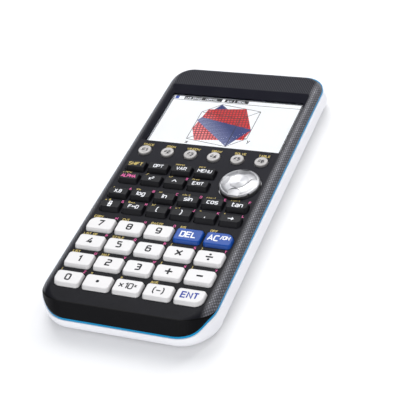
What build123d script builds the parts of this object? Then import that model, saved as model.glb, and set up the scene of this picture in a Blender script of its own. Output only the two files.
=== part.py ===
from build123d import *
from math import atan2, cos, degrees, radians, sin, sqrt
import os

# Graphing calculator, lying on its back. Millimetres, +X to the right of the keypad,
# +Y towards the display end, +Z out of the keypad. The origin is on the surface that the
# feet stand on, under the middle of the case.

# Whole body
BODY_WIDTH = 89.0
BODY_LENGTH = 187.5
BODY_HEIGHT = 18.6
NEAR_RADIUS, FAR_RADIUS = 18.15, 13.0

# Heights of the layers
BACK_Z = 0.6
PARTING_Z = 11.5
TRIM_HEIGHT = 1.2
TRIM_HIGH_Z = PARTING_Z + TRIM_HEIGHT
FACE_Z = 15.9

# The parting line is level, dips between two soft bends near the near end, and is level again
DIP_HIGH_Y, DIP_LOW_Y, DIP_DROP, DIP_BEND_RADIUS = -84.2, -90.8, 4.1, 8.0

# Walls
REAR_WALL = 1.5
REAR_FLOOR = 1.4
PLATE_THICKNESS = 1.25
PLATE_UNDER_Z = FACE_Z - PLATE_THICKNESS
FIT = 0.1

# Rear case edges: how far each rounding runs in, how high it rises, and how the ends lean in above it
SIDE_RUN, SIDE_RISE = 4.5, 4.6
NEAR_RUN, NEAR_RISE = 3.6, 4.4
NEAR_LEAN, FAR_LEAN = 0.1, 0.243
REAR_LIP_IN = 0.35
GROOVE_Z, GROOVE_HEIGHT, GROOVE_DEPTH, GROOVE_LENGTH = 4.2, 1.2, 0.7, 154.0

# Trim band and the front case's rim, measured in from the body's outline
TRIM_IN, TRIM_NEAR, TRIM_FAR = 1.15, -0.5, 1.0
TRIM_BAND_WIDTH = 2.3
RIM_IN, RIM_FAR = TRIM_IN + 0.05, 1.75
ROOF_IN, ROOF_NEAR = RIM_IN + 0.12, -1.9
LIP_GAP = 0.2
LIP_THICKNESS = 1.1
LIP_LOW_Z, LIP_LOW_Y = 10.9, -75.0

# Shoulder: an ellipse's upper part, from the rim at the first angle up to the flat face at 90 degrees
SHOULDER_RUN, SHOULDER_HALF_WIDTH, SHOULDER_HALF_HEIGHT = 5.0, 6.1, 7.5
SHOULDER_ANGLES = (35, 45, 55, 65, 75, 83, 90)

# Steep chin between the near end's crease and its trim
CREASE_Y = -89.5
CHIN_LOW_Z, CHIN_NEAR_Y = 8.6, -93.05
CHIN_X, CHIN_RADIUS = 43.7, 15.0
CAVITY_IN, CAVITY_LOW_Y = 4.9, -86.3

# Display
RECESS_X, RECESS_LOW_Y, RECESS_HIGH_Y = 39.5, 25.2, 73.5
WINDOW_X, WINDOW_LOW_Y, WINDOW_HIGH_Y = 37.1, 28.0, 68.8
WINDOW_TOP_Z, WINDOW_THICKNESS = 13.4, 1.0
SURROUND_X, SURROUND_LOW_Y, SURROUND_HIGH_Y = 40.5, 24.7, 75.4
LCD_X, LCD_LOW_Y, LCD_HIGH_Y = 38.5, 26.4, 71.4
LCD_TOP_Z, LCD_LOW_Z = 12.35, 9.0
ACTIVE_X, ACTIVE_LOW_Y, ACTIVE_HIGH_Y = 36.6, 28.5, 68.3

# Layers under the keys
BOARD_Z, BOARD_THICKNESS, BOARD_RADIUS = 12.3, 0.8, 9.0
BOARD_X, BOARD_LOW_Y, BOARD_HIGH_Y = 37.2, -84.0, 24.1
# Centre, width, depth and height of each large chip under the board
CHIPS = (
    (-12, -1, 14, 14, 1.3), (8, 1, 9, 11, 1.1), (22, -7, 5, 4, 1.0), (22, 5, 5, 4, 1.0),
    (-28, 3, 7, 5, 1.6), (-28, -9, 4, 2, 1.6), (0, -13, 11, 3, 0.9),
)
SHEET_THICKNESS = 0.25
SHEET_TOP_Z = BOARD_Z + BOARD_THICKNESS + SHEET_THICKNESS
FLANGE_LOW_Z, FLANGE_HIGH_Z = 14.2, 14.6
DOME_GAP = 0.05
DARK_DOME_RADIUS, NUMBER_DOME_RADIUS, PAD_DOME_RADIUS = 2.2, 2.8, 1.8
KEY_CLEARANCE = 0.3

# Small black keys: base, top face and height
DARK_BASE, DARK_TOP, DARK_TOP_Z, DARK_TOP_SHIFT = (10.9, 6.6), (10.3, 4.5), 18.0, 0.35
DARK_RADIUS, DARK_ROUND_RADIUS, DARK_EDGE = 0.9, 2.2, 0.35
DARK_FLANGE = 0.5
UPPER_X, UPPER_PITCH = -31.0, 12.6
UPPER_ROWS_Y = (3.9, -5.4)
LOWER_X, LOWER_PITCH = -31.62, 12.64
LOWER_ROWS_Y = (-16.9, -26.45)

# White and blue keys
NUMBER_BASE, NUMBER_TOP, NUMBER_TOP_Z, NUMBER_TOP_SHIFT = (13.8, 8.9), (13.3, 7.5), 17.5, 0.3
NUMBER_RADIUS, NUMBER_ROUND_RADIUS, NUMBER_EDGE = 1.7, 4.0, 0.6
NUMBER_FLANGE = 0.55
NUMBER_X, NUMBER_PITCH = -30.58, 15.29
NUMBER_ROWS_Y = (-39.7, -51.85, -64.0, -76.15)

# Function keys and cursor pad
ROUND_RADIUS, ROUND_TOP_Z, ROUND_DISH, ROUND_DISH_RADIUS = 3.45, 17.0, 0.25, 9.0
ROUND_EDGE, ROUND_FLANGE = 0.55, 0.7
ROUND_X, ROUND_PITCH, ROUND_Y = -31.75, 12.7, 16.8
PAD_X, PAD_Y, PAD_RADIUS, PAD_CLEARANCE = 26.8, -0.9, 10.1, 0.5
PAD_EDGE_Z, PAD_DISH_RADIUS, PAD_DISH_DEPTH = 17.3, 4.3, 0.4
PAD_FLANGE_RADIUS, PAD_FLANGE_LOW_Z, PAD_FLANGE_HIGH_Z = 11.0, 13.95, 14.35
PAD_POCKET_RADIUS, PAD_POCKET_Z = 12.2, 15.1
PAD_SLIT_START, PAD_SLIT_END, PAD_SLIT_WIDTH, PAD_SLIT_DEPTH = 4.9, 8.6, 0.8, 0.55
PAD_FOLD_RADIUS, PAD_FOLD_DEPTH = 14.0, 0.26
PAD_NICK_RADIUS = 0.7
PAD_DOME_AT = 7.0
ROCKER_RADIUS, ROCKER_LOW_Z, ROCKER_HIGH_Z = 3.5, 13.5, 13.75

# Screws, bosses and feet
SCREWS = [(side * x, y) for side in (-1, 1) for x, y in ((40.3, -69.0), (40.3, 21.5), (33.6, 80.9))]
HEAD_RADIUS, HEAD_LOW_Z, HEAD_HIGH_Z = 1.9, 3.2, 4.6
SHANK_RADIUS, SHANK_TOP_Z = 1.0, 13.6
HEAD_BOSS_RADIUS, SHANK_BOSS_RADIUS, FRONT_BOSS_RADIUS = 3.3, 2.3, 1.9
CROSS_LENGTH, CROSS_WIDTH, CROSS_DEPTH = 2.2, 0.5, 0.8
FEET = [(side * 33.0, y) for side in (-1, 1) for y in (-70.0, 70.0)]
FOOT_RADIUS, FOOT_SINK = 4.0, 0.5

# Battery bay and its cover
CELL_RADIUS, CELL_BODY, CELL_NUB, CELL_NUB_RADIUS = 5.15, 43.3, 1.2, 1.9
CELL_PITCH, CELL_Z = 11.4, 6.95
BAY_X, BAY_LOW_Y, BAY_HIGH_Y = 23.0, -75.0, -24.0
BAY_WALL, BAY_WALL_TOP_Z = 2.0, 11.6
COVER_X, COVER_LOW_Y, COVER_HIGH_Y = 24.0, -78.3, -20.7
COVER_TOP_Z, COVER_GAP = 1.55, 0.25
NOTCH_RADIUS, NOTCH_DEPTH = 6.0, 0.7
RIB_COUNT, RIB_PITCH, RIB_HALF_LENGTH, RIB_HALF_WIDTH, RIB_DEPTH = 4, 1.6, 7.0, 0.3, 0.3
CONTACT_PLATE, CONTACT_PLATE_SIDE = 0.4, 8.0
SPRING_RADIUS, SPRING_END_RADIUS, SPRING_BORE_RADIUS = 3.4, 2.2, 1.6

# Blank label recess in the back
LABEL_X, LABEL_LOW_Y, LABEL_HIGH_Y, LABEL_DEPTH = 30.0, 11.0, 47.0, 0.3

# Sockets in the far end
SOCKET_BOARD_Z, SOCKET_BOARD_THICKNESS = 5.0, 1.0
SOCKET_BOARD_X, SOCKET_BOARD_LOW_Y, SOCKET_BOARD_HIGH_Y = 26.0, 77.4, 89.4
USB_X, USB_SIZE = -16.0, (7.7, 9.0, 3.9)
USB_MOUTH = (6.9, 5.0, 3.1)
USB_TONGUE_HALF, USB_TONGUE_THICKNESS = 2.4, 0.7
JACK_X, JACK_Z, JACK_RADIUS, JACK_BORE_RADIUS = 14.0, 8.0, 2.6, 1.25
JACK_LENGTH, JACK_BORE_LENGTH = 11.0, 9.0
SOCKET_FACE_Y = 91.1

CELL_CENTRE_Y = (BAY_LOW_Y + BAY_HIGH_Y) / 2
HALF_WIDTH = BODY_WIDTH / 2
HALF_LENGTH = BODY_LENGTH / 2


def ring(x, low, high, near_radius, far_radius, z):
    """A rectangle with one corner radius at its near end and one at its far end."""
    points = [(-x, high, z), (x, high, z), (x, low, z), (-x, low, z)]
    radii = [far_radius, far_radius, near_radius, near_radius]
    return make_face(FilletPolyline(*points, radius=radii, close=True))


def outline(inset, z, near=0.0, far=0.0):
    """The body's rounded outline, moved in by inset, and by near or far more at those ends."""
    low, high = -HALF_LENGTH + inset + near, HALF_LENGTH - inset - far
    return ring(HALF_WIDTH - inset, low, high, NEAR_RADIUS - inset, FAR_RADIUS - inset, z)


def slab(inset, low_z, high_z, near=0.0, far=0.0):
    """An upright plate with the body's outline, moved in by inset."""
    return extrude(outline(inset, low_z, near, far), high_z - low_z)


def block(x0, x1, y0, y1, z0, z1):
    """A box between two corners."""
    return Pos((x0 + x1) / 2, (y0 + y1) / 2, (z0 + z1) / 2) * Box(x1 - x0, y1 - y0, z1 - z0)


def rod(x, y, radius, z0, z1):
    """An upright round bar."""
    return Pos(x, y, (z0 + z1) / 2) * Cylinder(radius, z1 - z0)


def rounded_in(height, run, rise):
    """How far an elliptical lower edge stands in, at a height above its low end."""
    if height >= rise:
        return 0.0
    return run * (1 - sqrt(1 - (1 - height / rise) ** 2))


def above_parting(lift):
    """Everything above the parting line, which is raised by lift."""
    z, reach, top = PARTING_Z + lift, 120.0, 40.0
    line = [(0, -reach, z - DIP_DROP), (0, DIP_LOW_Y, z - DIP_DROP), (0, DIP_HIGH_Y, z), (0, reach, z)]
    radii = [0, DIP_BEND_RADIUS, DIP_BEND_RADIUS, 0, 0, 0]
    profile = make_face(FilletPolyline(*line, (0, reach, top), (0, -reach, top), radius=radii, close=True))
    return extrude(profile, 60, dir=(1, 0, 0), both=True)


def tub(wall, floor_z, top_z):
    """The rear case's rounded form, moved in by a wall. Its two ends lean in above the rounding."""
    def section(z):
        side = rounded_in(z - floor_z, SIDE_RUN, SIDE_RISE)
        near = rounded_in(z - floor_z, NEAR_RUN, NEAR_RISE) + NEAR_LEAN * max(z - BACK_Z - NEAR_RISE, 0)
        far = FAR_LEAN * max(z - BACK_Z - SIDE_RISE, 0)
        lip = REAR_LIP_IN * max(z - BACK_Z - SIDE_RISE, 0) / (PARTING_Z - BACK_Z - SIDE_RISE)
        inset = wall + side + lip
        return outline(inset, z, near - side - lip, far)
    steps = [SIDE_RISE * (1 - cos(radians(angle))) for angle in (0, 18, 36, 54, 72, 90)]
    rounding = loft([section(floor_z + step) for step in steps], ruled=True)
    return rounding + loft([section(floor_z + SIDE_RISE), section(top_z)], ruled=True)


def rear_case():
    outer = tub(0, BACK_Z, TRIM_HIGH_Z)
    case = outer - tub(REAR_WALL, BACK_Z + REAR_FLOOR, TRIM_HIGH_Z + 0.2)
    bay_x = BAY_X + BAY_WALL
    case += block(-bay_x, bay_x, COVER_LOW_Y - 1, COVER_HIGH_Y + 1, BACK_Z, BAY_WALL_TOP_Z)
    for x, y in SCREWS:
        case += rod(x, y, HEAD_BOSS_RADIUS, BACK_Z + 0.4, HEAD_HIGH_Z + 0.8)
        case += rod(x, y, SHANK_BOSS_RADIUS, BACK_Z + 0.4, LIP_LOW_Z - 0.7)
    case = (case & outer) - above_parting(0)
    for x, y in SCREWS:
        case -= rod(x, y, HEAD_RADIUS + 0.3, 0, HEAD_HIGH_Z)
        case -= rod(x, y, SHANK_RADIUS + 0.15, HEAD_HIGH_Z - 1, TRIM_HIGH_Z)
    # Battery bay, the step that its cover closes, and a finger notch beside the cover
    case -= block(-BAY_X, BAY_X, BAY_LOW_Y, BAY_HIGH_Y, 0, BAY_WALL_TOP_Z + 1)
    step_x, step_low, step_high = COVER_X + COVER_GAP, COVER_LOW_Y - COVER_GAP, COVER_HIGH_Y + COVER_GAP
    case -= block(-step_x, step_x, step_low, step_high, 0, COVER_TOP_Z + 0.1)
    case -= block(-step_x, step_x, COVER_HIGH_Y - 1.8, step_high, 0, COVER_TOP_Z + 0.65)
    case -= rod(0, step_low + 2.5, NOTCH_RADIUS, 0, BACK_Z + NOTCH_DEPTH)
    for x, y in FEET:
        case -= rod(x, y, FOOT_RADIUS + FIT, 0, BACK_Z + FOOT_SINK)
    # Blank label recess, grooves for a slide-on cover, and the openings for the sockets
    case -= block(-LABEL_X, LABEL_X, LABEL_LOW_Y, LABEL_HIGH_Y, 0, BACK_Z + LABEL_DEPTH)
    for side in (-1, 1):
        groove = Box(2 * GROOVE_DEPTH, GROOVE_LENGTH, GROOVE_HEIGHT)
        case -= Pos(side * HALF_WIDTH, 0, GROOVE_Z) * groove
    length = 2 * (HALF_LENGTH - SOCKET_FACE_Y) + 4
    case -= Pos(USB_X, HALF_LENGTH, usb_z()) * Box(USB_SIZE[0] + 1.0, length, USB_SIZE[2] + 1.0)
    case -= Pos(JACK_X, HALF_LENGTH, JACK_Z) * Rot(90, 0, 0) * Cylinder(JACK_RADIUS + 0.4, length)
    return case


def usb_z():
    return SOCKET_BOARD_Z + SOCKET_BOARD_THICKNESS + USB_SIZE[2] / 2


def trim_band():
    """The coloured band between the two cases, as high everywhere as the parting line allows."""
    low_z = CHIN_LOW_Z - 3
    outer = slab(TRIM_IN, low_z, TRIM_HIGH_Z + 1, TRIM_NEAR, TRIM_FAR)
    inner = slab(TRIM_IN + TRIM_BAND_WIDTH, low_z - 1, TRIM_HIGH_Z + 2, TRIM_NEAR, TRIM_FAR)
    band = (outer - inner) & (above_parting(0) - above_parting(TRIM_HEIGHT))
    for x, y in SCREWS:
        band -= rod(x, y, SHANK_BOSS_RADIUS - 0.1, 0, 20)
    return band


def roof():
    """Everything under the flat face and its shoulders."""
    centre_z = FACE_Z - SHOULDER_HALF_HEIGHT
    sections = []
    for angle in SHOULDER_ANGLES:
        inset = SHOULDER_RUN - SHOULDER_HALF_WIDTH * cos(radians(angle))
        z = centre_z + SHOULDER_HALF_HEIGHT * sin(radians(angle))
        sections.append(outline(ROOF_IN + inset, z, ROOF_NEAR, RIM_FAR))
    low_z = centre_z + SHOULDER_HALF_HEIGHT * sin(radians(SHOULDER_ANGLES[0]))
    return loft(sections) + block(-60, 60, -120, 120, 0, low_z)


def chin_form():
    """A form whose near end leans in from the trim to the crease. It is wider than the case."""
    lean = (CREASE_Y - CHIN_NEAR_Y) / (FACE_Z - CHIN_LOW_Z)
    sections = []
    for z in (CHIN_LOW_Z - 3, FACE_Z + 1):
        near_y = CHIN_NEAR_Y + lean * (z - CHIN_LOW_Z)
        sections.append(ring(CHIN_X, near_y, HALF_LENGTH + 1, CHIN_RADIUS, 1, z))
    return loft(sections, ruled=True)


def recess_cutter():
    """The display recess, wide at the face and narrower at the window."""
    def opening(x, low, high, z, radius):
        return Pos(0, (low + high) / 2, z) * RectangleRounded(2 * x, high - low, radius)
    rise = (FACE_Z - WINDOW_TOP_Z) / 4
    wide_x = RECESS_X + (RECESS_X - WINDOW_X) / 4
    wide_low = RECESS_LOW_Y - (WINDOW_LOW_Y - RECESS_LOW_Y) / 4
    wide_high = RECESS_HIGH_Y + (RECESS_HIGH_Y - WINDOW_HIGH_Y) / 4
    bottom = opening(WINDOW_X, WINDOW_LOW_Y, WINDOW_HIGH_Y, WINDOW_TOP_Z, 0.8)
    top = opening(wide_x, wide_low, wide_high, FACE_Z + rise, 2.2)
    return loft([bottom, top], ruled=True)


def front_case():
    form = chin_form() & roof()
    upright = slab(RIM_IN, CHIN_LOW_Z - 2, FACE_Z + 0.5, TRIM_NEAR, RIM_FAR)
    case = form & upright & above_parting(TRIM_HEIGHT)
    cavity_near = CAVITY_LOW_Y + HALF_LENGTH - CAVITY_IN
    case -= slab(CAVITY_IN, 0, PLATE_UNDER_Z, cavity_near, RIM_FAR)
    lip_in = TRIM_IN + TRIM_BAND_WIDTH + LIP_GAP
    lip = slab(lip_in, LIP_LOW_Z, PLATE_UNDER_Z, 0, RIM_FAR)
    lip -= slab(lip_in + LIP_THICKNESS, 0, 20, 0, RIM_FAR)
    inside = lip - block(-50, 50, -100, LIP_LOW_Y, 0, 20)
    inside += block(
        -SURROUND_X, SURROUND_X, SURROUND_LOW_Y, SURROUND_HIGH_Y, LCD_TOP_Z + 0.05, PLATE_UNDER_Z + 0.1)
    for x, y in SCREWS:
        inside += rod(x, y, FRONT_BOSS_RADIUS, LIP_LOW_Z - 0.3, PLATE_UNDER_Z + 0.1)
    case += inside & form
    for x, y in SCREWS:
        case -= rod(x, y, SHANK_RADIUS + 0.05, 0, SHANK_TOP_Z + 0.2)
    case -= recess_cutter()
    case -= block(-WINDOW_X, WINDOW_X, WINDOW_LOW_Y, WINDOW_HIGH_Y, 0, WINDOW_TOP_Z + 0.01)
    case -= rod(PAD_X, PAD_Y, PAD_RADIUS + PAD_CLEARANCE, 0, 20)
    case -= rod(PAD_X, PAD_Y, PAD_POCKET_RADIUS, 0, PAD_POCKET_Z)
    holes = []
    for base, radii, x, y in dark_places() + number_places():
        wide, deep = base[0] + 2 * KEY_CLEARANCE, base[1] + 2 * KEY_CLEARANCE
        hole = key_outline(wide, deep, [r + KEY_CLEARANCE for r in radii], 0)
        holes.append(Pos(x, y, LIP_LOW_Z) * extrude(hole, FACE_Z))
    for x in round_places():
        holes.append(rod(x, ROUND_Y, ROUND_RADIUS + KEY_CLEARANCE, 0, 20))
    return case - holes


def display_window():
    window = block(
        -WINDOW_X + FIT, WINDOW_X - FIT, WINDOW_LOW_Y + FIT, WINDOW_HIGH_Y - FIT,
        WINDOW_TOP_Z - WINDOW_THICKNESS, WINDOW_TOP_Z)
    return chamfer(window.faces().sort_by(Axis.Z)[-1].edges(), 0.15)


def lcd_module():
    module = block(-LCD_X, LCD_X, LCD_LOW_Y, LCD_HIGH_Y, LCD_LOW_Z, LCD_TOP_Z)
    module = fillet(module.edges().filter_by(Axis.Z), 0.8)
    module -= block(-ACTIVE_X, ACTIVE_X, ACTIVE_LOW_Y, ACTIVE_HIGH_Y, LCD_TOP_Z - 0.05, LCD_TOP_Z + 1)
    ribbon = block(-14, 14, BOARD_HIGH_Y - 6, LCD_LOW_Y + 0.1, BOARD_Z - 0.25, BOARD_Z - 0.05)
    return module + ribbon


def main_board():
    """The keypad board with its chips, and the small board that holds the two sockets."""
    board = block(-BOARD_X, BOARD_X, BOARD_LOW_Y, BOARD_HIGH_Y, BOARD_Z, BOARD_Z + BOARD_THICKNESS)
    board = fillet(board.edges().filter_by(Axis.Z), BOARD_RADIUS)
    for x, y, wide, deep, high in CHIPS:
        board += Pos(x, y, BOARD_Z - high / 2) * Box(wide, deep, high + 0.02)
    low_z, high_z = SOCKET_BOARD_Z, SOCKET_BOARD_Z + SOCKET_BOARD_THICKNESS
    sockets = block(-SOCKET_BOARD_X, SOCKET_BOARD_X, SOCKET_BOARD_LOW_Y, SOCKET_BOARD_HIGH_Y, low_z, high_z)
    shell = block(
        USB_X - USB_SIZE[0] / 2, USB_X + USB_SIZE[0] / 2,
        SOCKET_FACE_Y - USB_SIZE[1], SOCKET_FACE_Y, high_z - 0.05, high_z + USB_SIZE[2])
    shell -= Pos(USB_X, SOCKET_FACE_Y - USB_MOUTH[1] / 2, usb_z()) * Box(*USB_MOUTH)
    tongue_low = usb_z() - USB_TONGUE_THICKNESS / 2
    shell += block(
        USB_X - USB_TONGUE_HALF, USB_X + USB_TONGUE_HALF, SOCKET_FACE_Y - USB_MOUTH[1] - 0.1,
        SOCKET_FACE_Y - 1, tongue_low, tongue_low + USB_TONGUE_THICKNESS)
    middle = SOCKET_FACE_Y - JACK_LENGTH / 2
    jack = block(
        JACK_X - 3, JACK_X + 3, SOCKET_FACE_Y - JACK_LENGTH, SOCKET_FACE_Y - 3,
        high_z - 0.05, JACK_Z + JACK_RADIUS)
    jack += Pos(JACK_X, middle, JACK_Z) * Rot(90, 0, 0) * Cylinder(JACK_RADIUS, JACK_LENGTH)
    bore_middle = SOCKET_FACE_Y - JACK_BORE_LENGTH / 2
    jack -= Pos(JACK_X, bore_middle, JACK_Z) * Rot(90, 0, 0) * Cylinder(JACK_BORE_RADIUS, JACK_BORE_LENGTH)
    return Compound(children=[board, sockets + shell + jack])


def dome(x, y, radius, top_z):
    """A hollow-looking silicone dome, closed as a plain frustum."""
    height = top_z - SHEET_TOP_Z + 0.05
    return Pos(x, y, top_z - height / 2) * Cone(radius, radius * 0.6, height)


def keypad_membrane():
    sheet = block(
        -BOARD_X + 0.4, BOARD_X - 0.4, BOARD_LOW_Y + 1, BOARD_HIGH_Y - 1,
        SHEET_TOP_Z - SHEET_THICKNESS, SHEET_TOP_Z)
    sheet = fillet(sheet.edges().filter_by(Axis.Z), BOARD_RADIUS - 1)
    top_z = FLANGE_LOW_Z - DOME_GAP
    for _, _, x, y in dark_places():
        sheet += dome(x, y, DARK_DOME_RADIUS, top_z)
    for _, _, x, y in number_places():
        sheet += dome(x, y, NUMBER_DOME_RADIUS, top_z)
    for x in round_places():
        sheet += dome(x, ROUND_Y, DARK_DOME_RADIUS, top_z)
    for dx, dy in ((1, 0), (-1, 0), (0, 1), (0, -1)):
        x, y = PAD_X + dx * PAD_DOME_AT, PAD_Y + dy * PAD_DOME_AT
        sheet += dome(x, y, PAD_DOME_RADIUS, PAD_FLANGE_LOW_Z - DOME_GAP)
    return sheet


def key_outline(wide, deep, radii, z):
    """A rounded rectangle with its own radius at each corner, from the far left clockwise."""
    x, y = wide / 2, deep / 2
    points = [(-x, y, z), (x, y, z), (x, -y, z), (-x, -y, z)]
    return make_face(FilletPolyline(*points, radius=radii, close=True))


def key_cap(base, top, top_z, shift, radii, edge, flange):
    """One key about its own axis: a tapered cap through the face, and a flange under it."""
    foot = extrude(key_outline(*base, radii, FLANGE_LOW_Z), FACE_Z - FLANGE_LOW_Z)
    top_radii = [max(radius - 0.2, 0.4) for radius in radii]
    low = key_outline(*base, radii, FACE_Z)
    high = Pos(0, shift, 0) * key_outline(*top, top_radii, top_z)
    cap = foot + loft([low, high], ruled=True)
    cap = fillet(cap.faces().sort_by(Axis.Z)[-1].edges(), edge)
    wide, deep = base[0] + 2 * flange, base[1] + 2 * flange
    skirt = extrude(key_outline(wide, deep, radii, FLANGE_LOW_Z), FLANGE_HIGH_Z - FLANGE_LOW_Z)
    return cap + skirt


def dark_places():
    """Base size, corner radii and centre of each small black key, row by row."""
    plain = [DARK_RADIUS] * 4
    right_end = [DARK_RADIUS, DARK_ROUND_RADIUS, DARK_ROUND_RADIUS, DARK_RADIUS]
    left_end = [DARK_ROUND_RADIUS, DARK_RADIUS, DARK_RADIUS, DARK_ROUND_RADIUS]
    places = []
    for y in UPPER_ROWS_Y:
        for column in range(4):
            radii = left_end if column == 0 else plain
            places.append((DARK_BASE, radii, UPPER_X + column * UPPER_PITCH, y))
    for y in LOWER_ROWS_Y:
        for column in range(6):
            radii = {0: left_end, 5: right_end}.get(column, plain)
            places.append((DARK_BASE, radii, LOWER_X + column * LOWER_PITCH, y))
    return places


def number_places():
    """Base size, corner radii and centre of each white or blue key, row by row."""
    round_corner = {(0, 0): 0, (0, 4): 1, (3, 4): 2, (3, 0): 3}
    places = []
    for row, y in enumerate(NUMBER_ROWS_Y):
        for column in range(5):
            radii = [NUMBER_RADIUS] * 4
            if (row, column) in round_corner:
                radii[round_corner[row, column]] = NUMBER_ROUND_RADIUS
            places.append((NUMBER_BASE, radii, NUMBER_X + column * NUMBER_PITCH, y))
    return places


def round_places():
    """How far across each function key is."""
    return [ROUND_X + index * ROUND_PITCH for index in range(6)]


def round_key():
    """A function key: a round pebble with a shallow dish in its top."""
    cap = rod(0, 0, ROUND_RADIUS, FLANGE_LOW_Z, ROUND_TOP_Z)
    cap = fillet(cap.edges().sort_by(Axis.Z)[-1], ROUND_EDGE)
    cap -= Pos(0, 0, ROUND_TOP_Z + ROUND_DISH_RADIUS - ROUND_DISH) * Sphere(ROUND_DISH_RADIUS)
    return cap + rod(0, 0, ROUND_RADIUS + ROUND_FLANGE, FLANGE_LOW_Z, FLANGE_HIGH_Z)


def pad_disc():
    """A crowned disc with a dished middle and a wider flange under it, about its own axis."""
    bottom = (0, 0, PAD_FLANGE_LOW_Z)
    flange_low = (PAD_FLANGE_RADIUS, 0, PAD_FLANGE_LOW_Z)
    flange_high = (PAD_FLANGE_RADIUS, 0, PAD_FLANGE_HIGH_Z)
    wall = (PAD_RADIUS, 0, PAD_FLANGE_HIGH_Z)
    rim = (PAD_RADIUS, 0, PAD_EDGE_Z)
    rim_round = (PAD_RADIUS - 0.35, 0, PAD_EDGE_Z + 0.38)
    shoulder = (PAD_RADIUS - 1.2, 0, PAD_EDGE_Z + 0.6)
    slope = (7.0, 0, BODY_HEIGHT - 0.22)
    crown = (PAD_DISH_RADIUS + 0.5, 0, BODY_HEIGHT)
    dish_edge = (PAD_DISH_RADIUS - 0.3, 0, BODY_HEIGHT - 0.15)
    dish_middle = (0, 0, BODY_HEIGHT - PAD_DISH_DEPTH)
    edges = Polyline(dish_middle, bottom, flange_low, flange_high, wall, rim)
    edges += ThreePointArc(rim, rim_round, shoulder)
    edges += ThreePointArc(shoulder, slope, crown)
    edges += Polyline(crown, dish_edge, dish_middle)
    return revolve(make_face(edges), Axis.Z)


def cursor_pad():
    """The four-way pad. Each of its four sides has a soft fold and a thin slit along it,
    and a small nick cuts the rim between each two sides."""
    pad = pad_disc()
    middle = (PAD_SLIT_START + PAD_SLIT_END) / 2
    fall = degrees(atan2(BODY_HEIGHT - PAD_EDGE_Z - 0.6, PAD_RADIUS - 1.2 - PAD_DISH_RADIUS - 0.5))
    fold_z = BODY_HEIGHT - 0.22 - PAD_FOLD_DEPTH + PAD_FOLD_RADIUS
    fold = Pos(middle, 0, fold_z) * Rot(0, 90 + fall, 0) * Cylinder(PAD_FOLD_RADIUS, 10)
    slit = Pos(0, 0, BODY_HEIGHT - PAD_SLIT_DEPTH) * extrude(slit_outline(), 1.0)
    nick = rod(PAD_RADIUS + 0.35, 0, PAD_NICK_RADIUS, PAD_FLANGE_HIGH_Z + 0.4, 20)
    for quarter in range(4):
        turn = Rot(0, 0, 90 * quarter)
        pad -= turn * (fold & rod(middle + 1.7, 0, 3.6, 0, 20))
        pad -= turn * slit
        pad -= turn * Rot(0, 0, 45) * nick
    return Pos(PAD_X, PAD_Y, 0) * pad


def slit_outline():
    """A long thin kite that points out along +X."""
    widest = PAD_SLIT_START + 0.7 * (PAD_SLIT_END - PAD_SLIT_START)
    half = PAD_SLIT_WIDTH / 2
    return make_face(Polyline(
        (PAD_SLIT_START, 0), (widest, half), (PAD_SLIT_END, 0), (widest, -half), close=True))


def cursor_rocker():
    return rod(PAD_X, PAD_Y, ROCKER_RADIUS, ROCKER_LOW_Z, ROCKER_HIGH_Z)


def battery_cover():
    cover = block(-COVER_X, COVER_X, COVER_LOW_Y, COVER_HIGH_Y, BACK_Z, COVER_TOP_Z)
    cover = fillet(cover.edges().filter_by(Axis.Z), 0.6)
    # Grip ribs beside the finger notch
    for index in range(RIB_COUNT):
        y = COVER_LOW_Y + 8.6 + index * RIB_PITCH
        low_y, high_y = y - RIB_HALF_WIDTH, y + RIB_HALF_WIDTH
        cover -= block(-RIB_HALF_LENGTH, RIB_HALF_LENGTH, low_y, high_y, 0, BACK_Z + RIB_DEPTH)
    return cover - rod(0, COVER_LOW_Y + 2.0, NOTCH_RADIUS, 0, BACK_Z + 0.45)


def cell_places():
    """Centre of each cell across the bay, and the way its positive end points."""
    return [((index - 1.5) * CELL_PITCH, 1 if index % 2 == 0 else -1) for index in range(4)]


def lying(x, y0, y1, radius, end_radius=None):
    """A round bar or cone along Y at the height of the cells."""
    shape = Cylinder(radius, abs(y1 - y0)) if end_radius is None else Cone(radius, end_radius, abs(y1 - y0))
    turn = Rot(-90, 0, 0) if y1 > y0 else Rot(90, 0, 0)
    return Pos(x, (y0 + y1) / 2, CELL_Z) * turn * shape


def batteries():
    cells = []
    for x, way in cell_places():
        tip = CELL_CENTRE_Y + way * (BAY_HIGH_Y - CELL_CENTRE_Y - CONTACT_PLATE - 0.1)
        shoulder = tip - way * CELL_NUB
        foot = shoulder - way * CELL_BODY
        body = fillet(lying(x, foot, shoulder, CELL_RADIUS).edges(), 0.5)
        cells.append(body + lying(x, shoulder - way * 0.2, tip, CELL_NUB_RADIUS))
    return Compound(children=cells)


def battery_contacts():
    """A flat plate at each end of each cell, with a conical spring at the negative ends."""
    pieces = []
    for x, way in cell_places():
        half = CONTACT_PLATE_SIDE / 2
        for end in (BAY_LOW_Y, BAY_HIGH_Y - CONTACT_PLATE):
            pieces.append(block(x - half, x + half, end, end + CONTACT_PLATE, CELL_Z - half, CELL_Z + half))
        plate_y = CELL_CENTRE_Y - way * (BAY_HIGH_Y - CELL_CENTRE_Y - CONTACT_PLATE)
        reach = BAY_HIGH_Y - CELL_CENTRE_Y - CONTACT_PLATE - 0.1 - CELL_NUB - CELL_BODY
        cell_y = CELL_CENTRE_Y + way * reach
        spring = lying(x, plate_y, cell_y - way * 0.1, SPRING_RADIUS, SPRING_END_RADIUS)
        spring -= lying(x, plate_y - way, cell_y + way, SPRING_BORE_RADIUS)
        pieces.append(spring)
    return Compound(children=pieces)


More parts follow.
